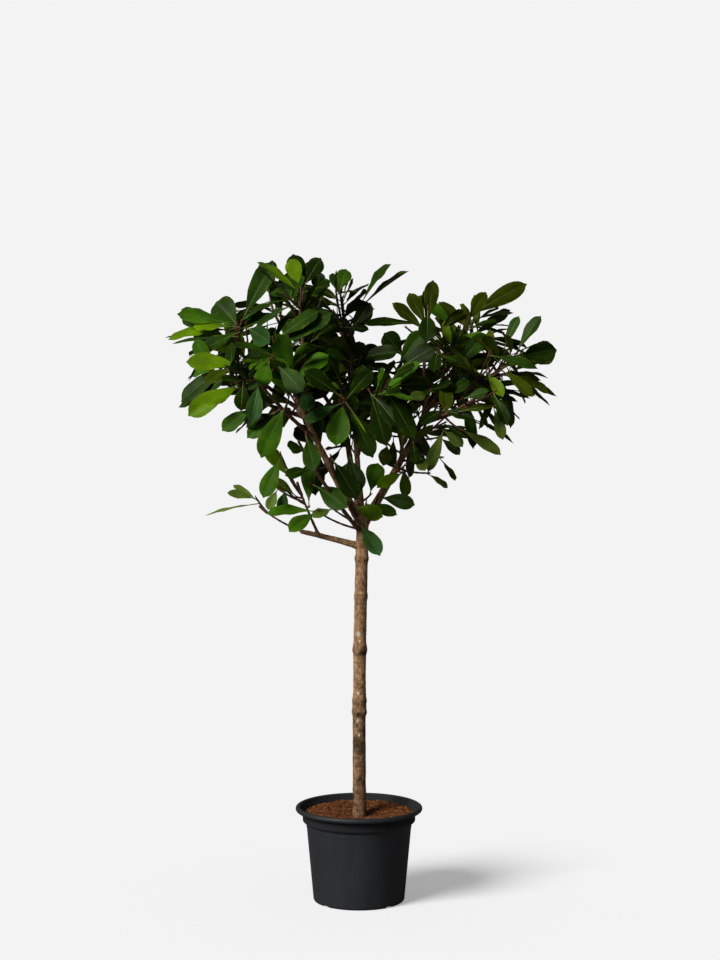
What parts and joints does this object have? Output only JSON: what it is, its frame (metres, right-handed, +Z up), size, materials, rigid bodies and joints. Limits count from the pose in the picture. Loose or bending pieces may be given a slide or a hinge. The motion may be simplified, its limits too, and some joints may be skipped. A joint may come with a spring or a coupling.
{
  "type": "potted african fig",
  "caption": "Young African fig grown as a standard tree: bare ringed trunk, two-lobed crown of leathery leaves, in a round dark nursery pot filled with soil.",
  "frame": {"origin": "centre of the pot's flat underside, where the plant stands", "axes": "+Z up along the trunk, -Y towards the picture's camera, +X to its right"},
  "size_m": [0.9143, 0.8242, 1.5365],
  "materials": {
    "pot": "satin moulded plastic",
    "soil": "rough fibrous potting mix",
    "bark": "rough brown bark with old leaf rings",
    "foliage": "leathery satin leaves"
  },
  "bodies": {
    "root": {"pot": "pot", "soil": "soil", "trunk": "bark", "low_bough": "bark", "low_spur_bough": "bark", "low_riser_bough": "bark", "left_bough": "bark", "left_crest_bough": "bark", "left_shoulder_bough": "bark", "left_outer_bough": "bark", "left_hem_bough": "bark", "left_under_bough": "bark", "middle_bough": "bark", "middle_crest_bough": "bark", "middle_face_bough": "bark", "throat_bough": "bark", "right_bough": "bark", "right_crest_bough": "bark", "right_top_bough": "bark", "right_outer_bough": "bark", "right_hem_bough": "bark", "right_under_bough": "bark", "back_bough": "bark", "back_left_bough": "bark", "back_right_bough": "bark", "low_spur_foliage": "foliage", "low_riser_foliage": "foliage", "left_foliage": "foliage", "left_crest_foliage": "foliage", "left_shoulder_foliage": "foliage", "left_outer_foliage": "foliage", "left_hem_foliage": "foliage", "left_under_foliage": "foliage", "middle_foliage": "foliage", "middle_crest_foliage": "foliage", "middle_face_foliage": "foliage", "throat_foliage": "foliage", "right_foliage": "foliage", "right_crest_foliage": "foliage", "right_top_foliage": "foliage", "right_outer_foliage": "foliage", "right_hem_foliage": "foliage", "right_under_foliage": "foliage", "back_foliage": "foliage", "back_left_foliage": "foliage", "back_right_foliage": "foliage"}
  },
  "joints": []
}
